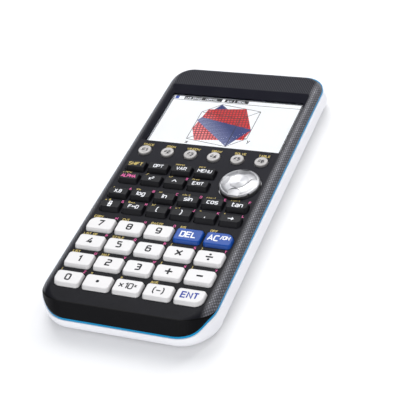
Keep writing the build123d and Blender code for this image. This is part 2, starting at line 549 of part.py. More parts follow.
def case_screws():
    screws = []
    for x, y in SCREWS:
        screw = rod(x, y, HEAD_RADIUS, HEAD_LOW_Z, HEAD_HIGH_Z - 0.02)
        screw = fillet(screw.edges().sort_by(Axis.Z)[0], 0.3)
        screw += rod(x, y, SHANK_RADIUS, HEAD_HIGH_Z - 0.1, SHANK_TOP_Z)
        cross = Box(CROSS_LENGTH, CROSS_WIDTH, CROSS_DEPTH) + Box(CROSS_WIDTH, CROSS_LENGTH, CROSS_DEPTH)
        screw -= Pos(x, y, HEAD_LOW_Z + CROSS_DEPTH / 2 - 0.01) * cross
        screws.append(screw)
    return Compound(children=screws)


def rear_feet():
    feet = []
    for x, y in FEET:
        foot = rod(x, y, FOOT_RADIUS, 0, BACK_Z + FOOT_SINK - 0.02)
        feet.append(fillet(foot.edges().sort_by(Axis.Z)[0], 0.3))
    return Compound(children=feet)


DARK_NAMES = (
    "key_shift", "key_option", "key_variable", "key_menu",
    "key_alpha", "key_square", "key_power", "key_exit",
    "key_x_theta", "key_log", "key_ln", "key_sin", "key_cos", "key_tan",
    "key_fraction", "key_convert", "key_paren_open", "key_paren_close", "key_comma", "key_arrow",
)
NUMBER_NAMES = (
    "key_7", "key_8", "key_9", "key_del", "key_ac",
    "key_4", "key_5", "key_6", "key_multiply", "key_divide",
    "key_1", "key_2", "key_3", "key_plus", "key_minus",
    "key_0", "key_point", "key_exponent", "key_negate", "key_enter",
)


def keys():
    """Every key by name, each in its own place."""
    made = {}
    for name, (base, radii, x, y) in zip(DARK_NAMES, dark_places()):
        cap = key_cap(base, DARK_TOP, DARK_TOP_Z, DARK_TOP_SHIFT, radii, DARK_EDGE, DARK_FLANGE)
        made[name] = Pos(x, y, 0) * cap
    for name, (base, radii, x, y) in zip(NUMBER_NAMES, number_places()):
        cap = key_cap(base, NUMBER_TOP, NUMBER_TOP_Z, NUMBER_TOP_SHIFT, radii, NUMBER_EDGE, NUMBER_FLANGE)
        made[name] = Pos(x, y, 0) * cap
    for index, x in enumerate(round_places()):
        made[f"key_f{index + 1}"] = Pos(x, ROUND_Y, 0) * round_key()
    return made


def main():
    parts = {
        "rear_case": rear_case(),
        "trim_band": trim_band(),
        "front_case": front_case(),
        "display_window": display_window(),
        "lcd_module": lcd_module(),
        "main_board": main_board(),
        "keypad_membrane": keypad_membrane(),
        "cursor_pad": cursor_pad(),
        "cursor_rocker": cursor_rocker(),
        "battery_cover": battery_cover(),
        "batteries": batteries(),
        "battery_contacts": battery_contacts(),
        "case_screws": case_screws(),
        "rear_feet": rear_feet(),
        **keys(),
    }
    os.makedirs("parts", exist_ok=True)
    for name, shape in parts.items():
        export_step(shape, f"parts/{name}.step")


main()
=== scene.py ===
from math import cos, pi, radians, sin, sqrt

import bpy
from mathutils import Matrix, Vector


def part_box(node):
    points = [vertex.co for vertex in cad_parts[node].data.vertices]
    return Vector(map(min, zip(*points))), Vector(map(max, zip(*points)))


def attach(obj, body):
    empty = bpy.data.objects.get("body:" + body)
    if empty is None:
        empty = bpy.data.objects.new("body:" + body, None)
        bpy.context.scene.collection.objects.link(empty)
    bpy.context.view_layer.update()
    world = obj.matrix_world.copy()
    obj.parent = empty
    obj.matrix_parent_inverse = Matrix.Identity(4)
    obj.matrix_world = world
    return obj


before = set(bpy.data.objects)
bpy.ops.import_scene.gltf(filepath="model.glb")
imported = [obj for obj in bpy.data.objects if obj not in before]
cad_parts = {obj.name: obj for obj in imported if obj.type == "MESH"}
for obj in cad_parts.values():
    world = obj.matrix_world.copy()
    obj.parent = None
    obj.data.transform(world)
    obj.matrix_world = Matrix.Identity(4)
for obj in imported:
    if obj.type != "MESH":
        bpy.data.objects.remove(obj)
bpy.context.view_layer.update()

# Places below are in millimetres, in the same frame as the CAD model.
MM = 0.001
FACE_Z = 15.9
SCREEN_Z = 12.31
INK = 0.03
ROOT = "case"


# ---------------------------------------------------------------- camera, floor and light

def add_camera():
    azimuth, elevation, roll = radians(30.1), radians(40.65), radians(13.71)
    target, distance = Vector((15.93, -16.99, 14.0)) * MM, 560.5 * MM
    forward = Vector((-sin(azimuth) * cos(elevation), cos(azimuth) * cos(elevation), -sin(elevation)))
    level = forward.cross(Vector((0, 0, 1))).normalized()
    upright = level.cross(forward)
    right = level * cos(roll) - upright * sin(roll)
    up = upright * cos(roll) + level * sin(roll)
    data = bpy.data.cameras.new("camera")
    data.lens, data.sensor_width = 101.5, 36.0
    data.clip_start, data.clip_end = 0.01, 50.0
    camera = bpy.data.objects.new("camera", data)
    turn = Matrix((right, up, -forward)).transposed().to_4x4()
    camera.matrix_world = Matrix.Translation(target - forward * distance) @ turn
    bpy.context.collection.objects.link(camera)
    bpy.context.scene.camera = camera


def add_light(name, place, size, power, colour=(1, 1, 1)):
    data = bpy.data.lights.new(name, "AREA")
    data.shape = "RECTANGLE"
    data.size, data.size_y = size
    data.energy, data.color = power, colour
    light = bpy.data.objects.new(name, data)
    light.location = place
    light.rotation_euler = (-Vector(place)).to_track_quat("-Z", "Y").to_euler()
    bpy.context.collection.objects.link(light)


def add_studio():
    world = bpy.data.worlds.new("studio")
    world.use_nodes = True
    bpy.context.scene.world = world
    add_sky(world.node_tree)
    bpy.context.scene.view_settings.view_transform = "Standard"
    add_light("key", (-0.35, 0.75, 1.05), (0.9, 0.7), 12)
    add_light("rim", (0.5, 0.9, 0.88), (0.22, 0.7), 4.5)
    add_light("side", (1.1, -0.35, 0.55), (0.5, 0.9), 2, (0.97, 0.98, 1.0))
    add_light("front", (-0.15, -1.2, 0.35), (1.2, 0.5), 6.5)
    half = 3.0
    mesh = bpy.data.meshes.new("floor")
    corners = [(-half, -half, 0), (half, -half, 0), (half, half, 0), (-half, half, 0)]
    mesh.from_pydata(corners, [], [(0, 1, 2, 3)])
    floor = bpy.data.objects.new("floor", mesh)
    mesh.materials.append(surface("floor_paper", (0.84, 0.84, 0.845), 0.9, mottle=0.01, grain=40, bump=0))
    bpy.context.collection.objects.link(floor)


def add_sky(tree):
    """An even pale sky with a darker part behind the left, for the metal to reflect."""
    place = add_node(tree, "ShaderNodeTexCoord")
    parts = add_node(tree, "ShaderNodeSeparateXYZ")
    tree.links.new(place.outputs["Generated"], parts.inputs[0])
    across = spread(tree, parts.outputs[0], 0, 1, -0.75, 0.1)
    shade = mixed(tree, across, (0.62, 0.64, 0.70), (0.97, 0.98, 1.0))
    sky = tree.nodes["Background"]
    tree.links.new(shade, sky.inputs["Color"])
    sky.inputs["Strength"].default_value = 0.64


# ---------------------------------------------------------------- materials

def new_material(name):
    material = bpy.data.materials.new(name)
    material.use_nodes = True
    tree = material.node_tree
    return material, tree, tree.nodes["Principled BSDF"]


def add_node(tree, kind, **values):
    """A node of that kind. Values with a place in its sockets are set there, and others on the node."""
    node = tree.nodes.new(kind)
    for key, value in values.items():
        if key in node.inputs:
            node.inputs[key].default_value = value
        else:
            setattr(node, key, value)
    return node


def spot_noise(tree, scale, detail=2.0, rough=0.5):
    """Noise over the object's own coordinates, with scale in cycles per metre."""
    place = add_node(tree, "ShaderNodeTexCoord")
    noise = add_node(tree, "ShaderNodeTexNoise", Scale=scale, Detail=detail, Roughness=rough)
    tree.links.new(place.outputs["Object"], noise.inputs["Vector"])
    return noise.outputs["Fac"]


def spread(tree, value, low, high, start=0.3, end=0.7):
    """The value from start to end, stretched to run from low to high."""
    ranger = add_node(tree, "ShaderNodeMapRange")
    for key, number in (("From Min", start), ("From Max", end), ("To Min", low), ("To Max", high)):
        ranger.inputs[key].default_value = number
    tree.links.new(value, ranger.inputs["Value"])
    return ranger.outputs["Result"]


def math_node(tree, operation, *values):
    node = add_node(tree, "ShaderNodeMath", operation=operation)
    for index, value in enumerate(values):
        if isinstance(value, (int, float)):
            node.inputs[index].default_value = value
        else:
            tree.links.new(value, node.inputs[index])
    return node.outputs[0]


def mixed(tree, factor, first, second):
    """A colour between two, each a plain colour or a socket."""
    node = add_node(tree, "ShaderNodeMix", data_type="RGBA")
    tree.links.new(factor, node.inputs["Factor"])
    for key, colour in ((6, first), (7, second)):
        if isinstance(colour, tuple):
            node.inputs[key].default_value = (*colour, 1)
        else:
            tree.links.new(colour, node.inputs[key])
    return node.outputs[2]


def add_bump(tree, shader, height, distance, strength=1.0):
    bump = add_node(tree, "ShaderNodeBump", Distance=distance, Strength=strength)
    tree.links.new(height, bump.inputs["Height"])
    tree.links.new(bump.outputs["Normal"], shader.inputs["Normal"])


def surface(name, colour, roughness, mottle=0.06, grain=700, bump=0.00001, metallic=0.0, specular=0.5):
    """A moulded or painted surface: mottled colour, uneven gloss and a fine grain."""
    material, tree, shader = new_material(name)
    wide = spot_noise(tree, grain / 12, 3.0)
    fine = spot_noise(tree, grain * 4, 2.0)
    dark = tuple(max(channel * (1 - mottle), 0) for channel in colour)
    light = tuple(min(channel * (1 + mottle) + mottle * 0.01, 1) for channel in colour)
    tree.links.new(mixed(tree, spread(tree, wide, 0, 1), dark, light), shader.inputs["Base Color"])
    low, high = max(roughness - 0.05, 0.02), min(roughness + 0.05, 1)
    tree.links.new(spread(tree, fine, low, high), shader.inputs["Roughness"])
    shader.inputs["Metallic"].default_value = metallic
    shader.inputs["Specular IOR Level"].default_value = specular
    if bump:
        add_bump(tree, shader, fine, bump, 0.4)
    return material


def split_place(tree):
    """X, Y and Z of the object's own coordinates, in millimetres."""
    place = add_node(tree, "ShaderNodeTexCoord")
    parts = add_node(tree, "ShaderNodeSeparateXYZ")
    tree.links.new(place.outputs["Object"], parts.inputs[0])
    return [math_node(tree, "MULTIPLY", parts.outputs[axis], 1000.0) for axis in range(3)]


def length_of(tree, across, along):
    """The length of a flat vector, from its two parts."""
    squares = [math_node(tree, "MULTIPLY", part, part) for part in (across, along)]
    return math_node(tree, "SQRT", math_node(tree, "ADD", *squares))


# The face's near corners turn about centres at this x and y. The chin leans out below them, and
# meets the face in a crease.
CHIN_CENTRE_X, CHIN_CENTRE_Y, CHIN_LEAN = 28.7, -74.5, 0.486
CREASE_RADIUS = 14.6
# Width of the painted shade line along the crease.
CREASE_SHADE_WIDTH = 0.35
SIDE_FADE = (38.4, 40.4)
TOP_FADE = (73.6, 74.0)
WEAVE_ACROSS, WEAVE_ALONG = 1.3, 1.9


def chin_distance(tree, x, y, z):
    """The distance from the centre line of the face's near corners, measured along the leaning chin."""
    rise = math_node(tree, "MULTIPLY", math_node(tree, "SUBTRACT", FACE_Z, z), CHIN_LEAN)
    leaned = math_node(tree, "ADD", y, rise)
    beside = math_node(tree, "SUBTRACT", math_node(tree, "ABSOLUTE", x), CHIN_CENTRE_X)
    below = math_node(tree, "SUBTRACT", leaned, CHIN_CENTRE_Y)
    return length_of(tree, math_node(tree, "MAXIMUM", beside, 0.0), math_node(tree, "MINIMUM", below, 0.0))


def case_charcoal():
    """The face: plain charcoal between the keys, painted darker towards the near end as painted shade; a
    woven pattern on the shoulders and the top band, painted lighter on the shoulders with painted glints as
    a painted highlight; and a chin painted near-black as painted shade, with a darker painted shade line
    where it meets the face.
    """
    material, tree, shader = new_material("charcoal_face")
    x, y, z = split_place(tree)
    side = spread(tree, math_node(tree, "ABSOLUTE", x), 0, 1, *SIDE_FADE)
    top = spread(tree, y, 0, 1, *TOP_FADE)
    beyond = chin_distance(tree, x, y, z)
    above_chin = spread(tree, beyond, 1, 0, CREASE_RADIUS - 0.1, CREASE_RADIUS)
    crease_shade_end = CREASE_RADIUS + CREASE_SHADE_WIDTH
    past_crease_shade = spread(tree, beyond, 0, 1, crease_shade_end, crease_shade_end + 0.1)
    patterned = math_node(tree, "MULTIPLY", math_node(tree, "MAXIMUM", side, top), above_chin)
    shoulder = math_node(tree, "MULTIPLY", side, above_chin)
    across = math_node(tree, "SINE", math_node(tree, "MULTIPLY", x, 2 * pi / WEAVE_ACROSS))
    along = math_node(tree, "SINE", math_node(tree, "MULTIPLY", y, 2 * pi / WEAVE_ALONG))
    dots = spread(tree, math_node(tree, "MULTIPLY", across, along), 0, 1, -0.1, 0.6)
    # Random spots, used for painted glints on the shoulder dots.
    glint_cells = add_node(tree, "ShaderNodeTexVoronoi", Scale=2200.0)
    place = add_node(tree, "ShaderNodeTexCoord")
    tree.links.new(place.outputs["Object"], glint_cells.inputs["Vector"])
    glint_spots = spread(tree, glint_cells.outputs["Color"], 0, 1, 0.65, 0.9)
    wide = spot_noise(tree, 60, 3.0)
    # The plain face is painted darker towards the near end, a painted shade.
    far = mixed(tree, spread(tree, wide, 0, 1), (0.009, 0.009, 0.015), (0.012, 0.012, 0.018))
    near = mixed(tree, spread(tree, wide, 0, 1), (0.004, 0.004, 0.006), (0.006, 0.006, 0.009))
    plain = mixed(tree, spread(tree, y, 0, 1, -60, 70), near, far)
    # On the shoulders the weave is painted lighter than on the top band, a painted highlight, and random
    # dots there get painted glints.
    dots_tone_and_highlight = mixed(tree, shoulder, (0.040, 0.040, 0.050), (0.15, 0.15, 0.17))
    between = mixed(tree, shoulder, (0.014, 0.014, 0.018), (0.030, 0.030, 0.036))
    woven = mixed(tree, dots, between, dots_tone_and_highlight)
    painted_glint_dots = math_node(tree, "MULTIPLY", math_node(tree, "MULTIPLY", glint_spots, dots), shoulder)
    dots_with_painted_glints = mixed(tree, painted_glint_dots, woven, (0.30, 0.30, 0.33))
    face = mixed(tree, patterned, plain, dots_with_painted_glints)
    # The chin is painted near-black, darker than the face, as painted shade. A thin band along the crease
    # is painted darker still, as painted shade.
    chin = mixed(tree, past_crease_shade, (0.001, 0.001, 0.001), (0.005, 0.005, 0.007))
    tree.links.new(mixed(tree, above_chin, chin, face), shader.inputs["Base Color"])
    fine = spot_noise(tree, 2800, 2.0)
    tree.links.new(spread(tree, fine, 0.36, 0.50), shader.inputs["Roughness"])
    weave = math_node(tree, "MULTIPLY", dots, patterned)
    metal = math_node(tree, "MULTIPLY", math_node(tree, "MULTIPLY", dots, shoulder), 0.8)
    tree.links.new(metal, shader.inputs["Metallic"])
    tree.links.new(spread(tree, shoulder, 0.06, 0.5, 0, 1), shader.inputs["Specular IOR Level"])
    relief = math_node(tree, "ADD", weave, math_node(tree, "MULTIPLY", fine, 0.2))
    add_bump(tree, shader, relief, 0.00004, 0.6)
    return material


RING_PITCH = 0.16


def turned_silver(name, centre):
    """Metallised plastic turned about a centre, with fine rings and a sheen that fans out from it. The
    sheen is partly the metal's own anisotropic gloss and partly painted: light and dark sectors about the
    centre are painted into its colour, a painted sheen.
    """
    material, tree, shader = new_material(name)
    wide = spot_noise(tree, 500, 3.0)
    silver = mixed(tree, spread(tree, wide, 0, 1), (0.40, 0.40, 0.41), (0.46, 0.46, 0.47))
    shader.inputs["Metallic"].default_value = 0.9
    shader.inputs["Anisotropic"].default_value = 0.75
    tangent = add_node(tree, "ShaderNodeTangent", direction_type="RADIAL", axis="Z")
    tree.links.new(tangent.outputs[0], shader.inputs["Tangent"])
    x, y, _ = split_place(tree)
    dx = math_node(tree, "SUBTRACT", x, centre[0])
    dy = math_node(tree, "SUBTRACT", y, centre[1])
    turns = math_node(tree, "MULTIPLY", length_of(tree, dx, dy), 2 * pi / RING_PITCH)
    rings = math_node(tree, "SINE", turns)
    # Light and dark sectors about the centre, painted into the colour as a painted sheen.
    turn = math_node(tree, "MULTIPLY", math_node(tree, "ARCTAN2", dy, dx), 2.0)
    painted_sheen_fan = spread(tree, math_node(tree, "COSINE", math_node(tree, "ADD", turn, 0.9)), 0, 1, -1, 1)
    tree.links.new(mixed(tree, painted_sheen_fan, (0.21, 0.21, 0.22), silver), shader.inputs["Base Color"])
    tree.links.new(spread(tree, rings, 0.32, 0.42, -1, 1), shader.inputs["Roughness"])
    add_bump(tree, shader, rings, 0.000003, 0.4)
    return material


def board_green():
    """Green board inside, with the nickel of the socket shells at its far end."""
    material, tree, shader = new_material("board_green")
    _, y, _ = split_place(tree)
    shell = spread(tree, y, 0, 1, 78.0, 78.2)
    tracks = spread(tree, spot_noise(tree, 900, 3.0), 0, 1, 0.45, 0.55)
    green = mixed(tree, tracks, (0.010, 0.085, 0.035), (0.020, 0.15, 0.06))
    nickel = mixed(tree, tracks, (0.46, 0.45, 0.43), (0.54, 0.53, 0.51))
    tree.links.new(mixed(tree, shell, green, nickel), shader.inputs["Base Color"])
    tree.links.new(shell, shader.inputs["Metallic"])
    tree.links.new(spread(tree, tracks, 0.30, 0.42, 0, 1), shader.inputs["Roughness"])
    return material


def window_clear():
    material, tree, shader = new_material("window_clear")
    shader.inputs["Base Color"].default_value = (0.97, 0.98, 1.0, 1)
    shader.inputs["Transmission Weight"].default_value = 1.0
    shader.inputs["IOR"].default_value = 1.03
    shader.inputs["Specular IOR Level"].default_value = 0.0
    smear = spot_noise(tree, 60, 3.0)
    tree.links.new(spread(tree, smear, 0.0, 0.02), shader.inputs["Roughness"])
    return material


def glow(name, colour, strength, mottle=0.03, pale=None):
    """A lit colour of the screen, uneven like its backlight. A drawing can turn pale to its near left."""
    material, tree, shader = new_material(name)
    wide = spot_noise(tree, 45, 2.0)
    dark = tuple(channel * (1 - mottle) for channel in colour)
    shade = mixed(tree, spread(tree, wide, 0, 1), dark, colour)
    if pale:
        x, y, _ = split_place(tree)
        far = math_node(tree, "ADD", x, math_node(tree, "SUBTRACT", y, SCREEN_Y))
        shade = mixed(tree, spread(tree, far, 0, 1, -18, 0), pale, shade)
    tree.links.new(shade, shader.inputs["Emission Color"])
    shader.inputs["Base Color"].default_value = (0.02, 0.02, 0.02, 1)
    shader.inputs["Specular IOR Level"].default_value = 0.2
    shader.inputs["Emission Strength"].default_value = strength
    shader.inputs["Roughness"].default_value = 0.6
    return material


# ---------------------------------------------------------------- meshes

def add_piece(name, corners, faces, material, body):
    """A piece from corners in millimetres, riding on a CAD body."""
    mesh = bpy.data.meshes.new(name)
    mesh.from_pydata([Vector(corner) * MM for corner in corners], [], faces)
    mesh.materials.append(material)
    piece = bpy.data.objects.new(name, mesh)
    bpy.context.collection.objects.link(piece)
    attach(piece, body)
    return piece


class Drawing:
    """Flat closed shapes that gather into one mesh."""

    def __init__(self):
        self.corners = []
        self.faces = []

    def prism(self, outline, low, high):
        """A closed plate with that outline, given anticlockwise."""
        start, count = len(self.corners), len(outline)
        self.corners += [(x, y, low) for x, y in outline] + [(x, y, high) for x, y in outline]
        self.faces.append(tuple(start + index for index in reversed(range(count))))
        self.faces.append(tuple(start + count + index for index in range(count)))
        for index in range(count):
            after = (index + 1) % count
            self.faces.append((start + index, start + after, start + count + after, start + count + index))

    def ribbon(self, points, width, low, high, closed=False):
        """A closed band of that width along a line of points."""
        start, count = len(self.corners), len(points)
        sides = []
        for index, (x, y) in enumerate(points):
            before = points[index - 1] if closed or index else None
            after = points[(index + 1) % count] if closed or index < count - 1 else None
            ahead = heading((x, y), after) if after else heading(before, (x, y))
            behind = heading(before, (x, y)) if before else ahead
            along = (ahead[0] + behind[0], ahead[1] + behind[1])
            size = sqrt(along[0] ** 2 + along[1] ** 2) or 1.0
            along = (along[0] / size, along[1] / size)
            square = max(along[0] * ahead[0] + along[1] * ahead[1], 0.5)
            half = width / 2 / square
            side_x, side_y = -along[1] * half, along[0] * half
            sides.append(((x + side_x, y + side_y), (x - side_x, y - side_y)))
        for z in (low, high):
            for left, right in sides:
                self.corners += [(*left, z), (*right, z)]
        top = start + 2 * count
        for index in range(count if closed else count - 1):
            a, b = 2 * index, 2 * ((index + 1) % count)
            self.faces.append((top + a + 1, top + b + 1, top + b, top + a))
            self.faces.append((start + a, start + b, start + b + 1, start + a + 1))
            self.faces.append((start + a + 1, start + b + 1, top + b + 1, top + a + 1))
            self.faces.append((start + b, start + a, top + a, top + b))
        if not closed:
            end = 2 * (count - 1)
            self.faces.append((start, start + 1, top + 1, top))
            self.faces.append((start + end + 1, start + end, top + end, top + end + 1))

    def finish(self, name, material, body, slot):
        return add_piece(name, self.corners, self.faces, material, body)


def heading(start, end):
    x, y = end[0] - start[0], end[1] - start[1]
    size = sqrt(x * x + y * y) or 1.0
    return x / size, y / size


def rounded(points, radius, closed=False, steps=4):
    """The line of points with its corners turned into arcs. A third value of 0 keeps a corner sharp."""
    count, result = len(points), []
    for index, point in enumerate(points):
        corner = Vector(point[:2])
        at_end = not closed and index in (0, count - 1)
        if at_end or len(point) == 3:
            result.append(tuple(corner))
            continue
        to_before = Vector(points[index - 1][:2]) - corner
        to_after = Vector(points[(index + 1) % count][:2]) - corner
        cut = min(radius, to_before.length / 2, to_after.length / 2)
        start, end = corner + to_before.normalized() * cut, corner + to_after.normalized() * cut
        for step in range(steps + 1):
            t = step / steps
            result.append(tuple(start * (1 - t) ** 2 + corner * 2 * t * (1 - t) + end * t * t))
    return result


# ---------------------------------------------------------------- lettering

# Each letter is a few strokes on a grid 6 high, with rounded corners. A stroke that starts
# with "loop" is closed, one that starts with "dot" is a round spot, and a point with a third
# value keeps a sharp corner.
LOOP = "loop"
DOT = "dot"
RING = [LOOP, (0, 0), (4, 0), (4, 6), (0, 6)]
LETTERS = {
    "0": [RING], "O": [RING],
    "1": [[(0.6, 4.7), (2.2, 6, 0), (2.2, 0)]],
    "2": [[(0, 6), (4, 6), (4, 3.1), (0, 3.1), (0, 0, 0), (4, 0)]],
    "3": [[(0, 6), (4, 6), (4, 0), (0, 0)], [(0.9, 3.1), (4, 3.1)]],
    "4": [[(2.9, 6), (0, 1.5, 0), (4.2, 1.5)], [(3, 3.2), (3, 0)]],
    "5": [[(3.9, 6), (0.2, 6, 0), (0.2, 3.5), (4, 3.5), (4, 0), (0, 0)]],
    "6": [[(3.8, 6), (0, 6), (0, 0), (4, 0), (4, 3.5), (0.2, 3.5)]],
    "7": [[(0, 6), (4, 6, 0), (1.3, 0)]],
    "8": [RING, [(0.2, 3.1), (3.8, 3.1)]],
    "9": [[(0.2, 0), (4, 0), (4, 6), (0, 6), (0, 2.5), (3.8, 2.5)]],
    "A": [[(0, 0), (2.1, 6, 0), (4.2, 0)], [(0.9, 1.9), (3.3, 1.9)]],
    "B": [[LOOP, (0, 0, 0), (4, 0), (4, 3.1), (4, 6), (0, 6, 0)], [(0, 3.1), (3.8, 3.1)]],
    "C": [[(4, 6), (0, 6), (0, 0), (4, 0)]],
    "D": [[LOOP, (0, 0, 0), (4, 0), (4, 6), (0, 6, 0)]],
    "E": [[(4, 6), (0, 6, 0), (0, 0, 0), (4, 0)], [(0, 3.1), (3.5, 3.1)]],
    "F": [[(4, 6), (0, 6, 0), (0, 0)], [(0, 3.1), (3.4, 3.1)]],
    "G": [[(4, 6), (0, 6), (0, 0), (4, 0, 0), (4, 3, 0), (2.2, 3)]],
    "H": [[(0, 0), (0, 6)], [(4, 0), (4, 6)], [(0, 3.1), (4, 3.1)]],
    "I": [[(0, 0), (0, 6)]],
    "J": [[(3.4, 6), (3.4, 0), (0, 0), (0, 1.4)]],
    "K": [[(0, 0), (0, 6)], [(3.9, 6), (0.5, 3, 0), (4.1, 0)]],
    "L": [[(0, 6), (0, 0, 0), (3.7, 0)]],
    "M": [[(0, 0), (0, 6, 0), (2.5, 2, 0), (5, 6, 0), (5, 0)]],
    "N": [[(0, 0), (0, 6, 0), (4, 0, 0), (4, 6)]],
    "P": [[(0, 0), (0, 6, 0), (4, 6), (4, 2.7), (0, 2.7)]],
    "Q": [RING, [(2.6, 1.4), (4.3, -0.7)]],
    "R": [[(0, 0), (0, 6, 0), (4, 6), (4, 2.7), (0, 2.7)], [(2.2, 2.7), (4.1, 0)]],
    "S": [[(4, 6), (0, 6), (0, 3.1), (4, 3.1), (4, 0), (0, 0)]],
    "T": [[(2.1, 0), (2.1, 6)], [(0, 6), (4.2, 6)]],
    "U": [[(0, 6), (0, 0), (4, 0), (4, 6)]],
    "V": [[(0, 6), (2.1, 0, 0), (4.2, 6)]],
    "W": [[(0, 6), (1.5, 0, 0), (2.9, 5, 0), (4.3, 0, 0), (5.8, 6)]],
    "X": [[(0, 0), (4, 6)], [(0, 6), (4, 0)]],
    "Y": [[(0, 6), (2.1, 2.9, 0), (4.2, 6)], [(2.1, 2.9), (2.1, 0)]],
    "Z": [[(0, 6), (4, 6, 0), (0, 0, 0), (4, 0)]],
    "a": [[(0.3, 4.2), (3.4, 4.2), (3.4, 0, 0), (0, 0), (0, 2.4), (3.4, 2.4)]],
    "c": [[(3.3, 4.2), (0, 4.2), (0, 0), (3.3, 0)]],
    "e": [[(0, 2.2), (3.4, 2.2, 0), (3.4, 4.2), (0, 4.2), (0, 0), (3.2, 0)]],
    "g": [[(3.4, 0), (0, 0), (0, 4.2), (3.4, 4.2, 0), (3.4, -1.8), (0.3, -1.8)]],
    "i": [[(0, 0), (0, 4.2)], [DOT, (0, 6)]],
    "l": [[(0, 0), (0, 6)]],
    "n": [[(0, 0), (0, 4.2, 0), (3.4, 4.2), (3.4, 0)]],
    "o": [[LOOP, (0, 0), (3.4, 0), (3.4, 4.2), (0, 4.2)]],
    "s": [[(3.2, 4.2), (0, 4.2), (0, 2.1), (3.2, 2.1), (3.2, 0), (0, 0)]],
    "t": [[(0.8, 5.8), (0.8, 0), (2.8, 0)], [(0, 4.2), (2.6, 4.2)]],
    "x": [[(0, 0), (3.3, 4.2)], [(0, 4.2), (3.3, 0)]],
    "y": [[(0, 4.2), (1.8, 0.3)], [(3.5, 4.2), (0.9, -1.8)]],
    "θ": [[LOOP, (0, 0), (3.3, 0), (3.3, 6), (0, 6)], [(0.2, 3), (3.1, 3)]],
    "π": [[(0, 4.2), (4.2, 4.2)], [(1, 4.2), (1, 0)], [(3.2, 4.2), (3.2, 0)]],
    "√": [[(-0.4, 2.8), (0.6, 3.2, 0), (1.8, 0, 0), (3.2, 6.6, 0), (5.4, 6.6)]],
    "+": [[(0, 3), (4.6, 3)], [(2.3, 0.7), (2.3, 5.3)]],
    "-": [[(0, 3), (4, 3)]],
    "×": [[(0.2, 1.1), (4, 4.9)], [(0.2, 4.9), (4, 1.1)]],
    "÷": [[(0, 3), (4.6, 3)], [DOT, (2.3, 5.0)], [DOT, (2.3, 1.0)]],
    ".": [[DOT, (0, 0.4)]],
    "•": [[DOT, (0, 3)]],
    "/": [[(0, -0.6), (2.6, 6.6)]],
    ",": [[(0.5, 0.7), (0, -0.9)]],
    "(": [[(1.3, 6.8), (0, 5.2), (0, 0.8), (1.3, -0.8)]],
    ")": [[(0, 6.8), (1.3, 5.2), (1.3, 0.8), (0, -0.8)]],
    "=": [[(0, 1.9), (4, 1.9)], [(0, 4.1), (4, 4.1)]],
    "^": [[(0, 1.6), (2.6, 4.6, 0), (5.2, 1.6)]],
    "→": [[(0, 3), (6, 3)], [(4.2, 4.8), (6, 3, 0), (4.2, 1.2)]],
    "↔": [[(0, 3), (4.6, 3)], [(1.2, 4.2), (0, 3, 0), (1.2, 1.8)], [(3.4, 4.2), (4.6, 3, 0), (3.4, 1.8)]],
    "∠": [[(3.6, 5), (0, 0.4, 0), (4, 0.4)]],
    "°": [[LOOP, (0, 4.4), (1.6, 4.4), (1.6, 6), (0, 6)]],
    "½": [[LOOP, (0.6, 3.9, 0), (3.4, 3.9, 0), (3.4, 6.6, 0), (0.6, 6.6, 0)], [(-0.4, 3), (4.4, 3)],
          [LOOP, (0.6, -0.6, 0), (3.4, -0.6, 0), (3.4, 2.1, 0), (0.6, 2.1, 0)]],
}
GAP = 1.5
SPACE = 2.4
CORNER = 1.35
RAISED_SIZE, RAISED_LIFT = 0.62, 2.6


def width_of(letter):
    strokes = LETTERS.get(letter, [])
    points = [point for stroke in strokes for point in stroke if point not in (LOOP, DOT)]
    return max((point[0] for point in points), default=SPACE)


def run_width(text):
    return sum(width_of(letter) + GAP for letter in text) - GAP


def write(drawing, text, x, y, height, z, align=0.5, weight=0.85, widest=99.0, root=INK):
    """Text as raised strokes, centred on y. It starts at x where align is 0 and ends there where it is 1.
    A part after a bar stands higher and smaller. The text is squeezed to be no wider than widest, and
    its strokes reach down by root."""
    runs = []
    for number, part in enumerate(text.split("|")):
        runs.append((part, RAISED_SIZE, RAISED_LIFT) if number % 2 else (part, 1.0, 0.0))
    unit = height / 6
    total = sum((run_width(part) + GAP) * size for part, size, lift in runs if part) - GAP * runs[-1][1]
    squeeze = min(1.0, widest / max(total * unit, 0.1))
    pen = x - total * unit * squeeze * align
    for part, size, lift in runs:
        scale = unit * size
        thick = weight * scale * (1.25 if size < 1 else 1)
        for letter in part:
            for stroke in LETTERS.get(letter, []):
                high = z + INK + 0.0005 * (len(drawing.corners) % 13)
                plain = stroke[1:] if stroke[0] in (LOOP, DOT) else stroke
                line = [(pen + px * scale * squeeze, y + (py * size + lift - 3) * unit)
                        for px, py in rounded(plain, CORNER, stroke[0] == LOOP)]
                if stroke[0] == DOT:
                    drawing.prism(circle(*line[0], thick * 0.68), z - root, high)
                else:
                    drawing.ribbon(line, thick, z - root, high, stroke[0] == LOOP)
            pen += (width_of(letter) + GAP) * scale * squeeze


def circle(x, y, radius, count=16):
    turns = [2 * pi * index / count for index in range(count)]
    return [(x + radius * cos(turn), y + radius * sin(turn)) for turn in turns]


# ---------------------------------------------------------------- the keys

SILVER = ("key_f1", "key_f2", "key_f3", "key_f4", "key_f5", "key_f6")
BLUE = ("key_del", "key_ac")
